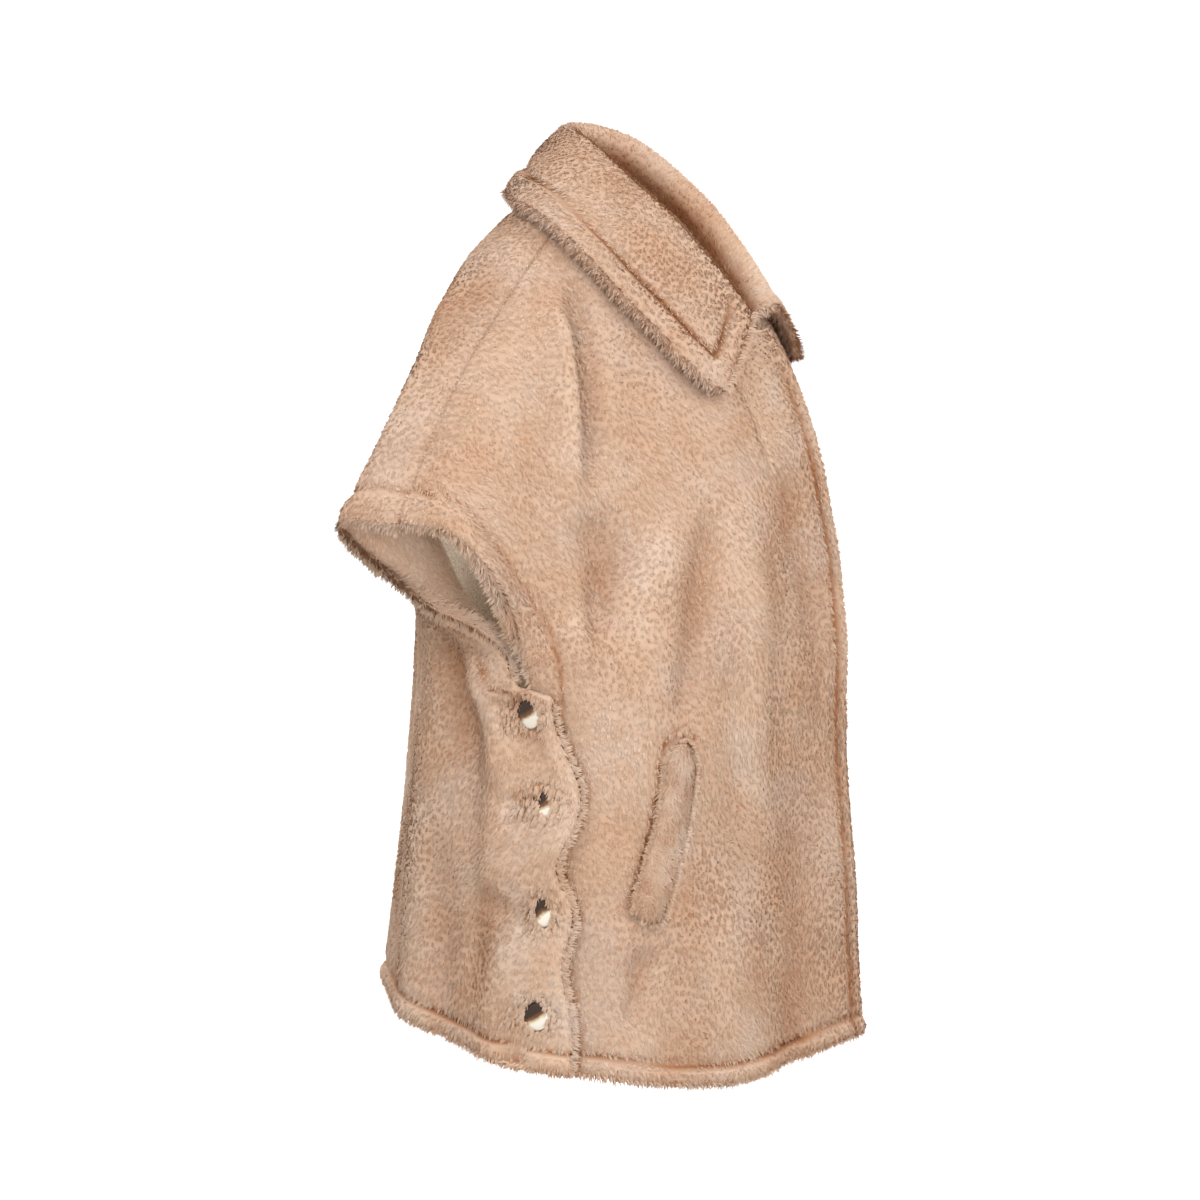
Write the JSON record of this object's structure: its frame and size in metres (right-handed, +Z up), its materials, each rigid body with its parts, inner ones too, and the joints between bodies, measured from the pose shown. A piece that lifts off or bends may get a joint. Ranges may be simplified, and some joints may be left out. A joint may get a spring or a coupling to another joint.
{
  "type": "poncho",
  "caption": "Hip-length plush poncho worn open-bodied and hollow, with a pointed turn-down collar, slanted welt pockets, sloping wide sleeves left open, and buttoned side plackets.",
  "frame": {"origin": "middle of the neck opening at the height of the shoulder points, where the wearer's neck carries the garment", "axes": "+Z up, the wearer faces -Y, the wearer's right is -X"},
  "size_m": [0.6616, 0.4053, 0.8085],
  "materials": {
    "plush": "matte long-pile plush, camel beige",
    "lining": "plain woven lining, greyish beige",
    "horn": "glossy marbled brown and ivory, horn-like"
  },
  "bodies": {
    "root": {"front_right": "plush", "front_left": "plush", "back": "plush", "collar": "plush", "facing_front_right": "plush", "facing_front_left": "plush", "facing_back_right": "plush", "facing_back_left": "plush", "lining_front_right": "lining", "lining_front_left": "lining", "lining_back": "lining", "pocket_welt_right": "plush", "pocket_welt_left": "plush", "button_right_1": "horn", "button_right_2": "horn", "button_right_3": "horn", "button_right_4": "horn", "button_left_1": "horn", "button_left_2": "horn", "button_left_3": "horn", "button_left_4": "horn"}
  },
  "joints": []
}
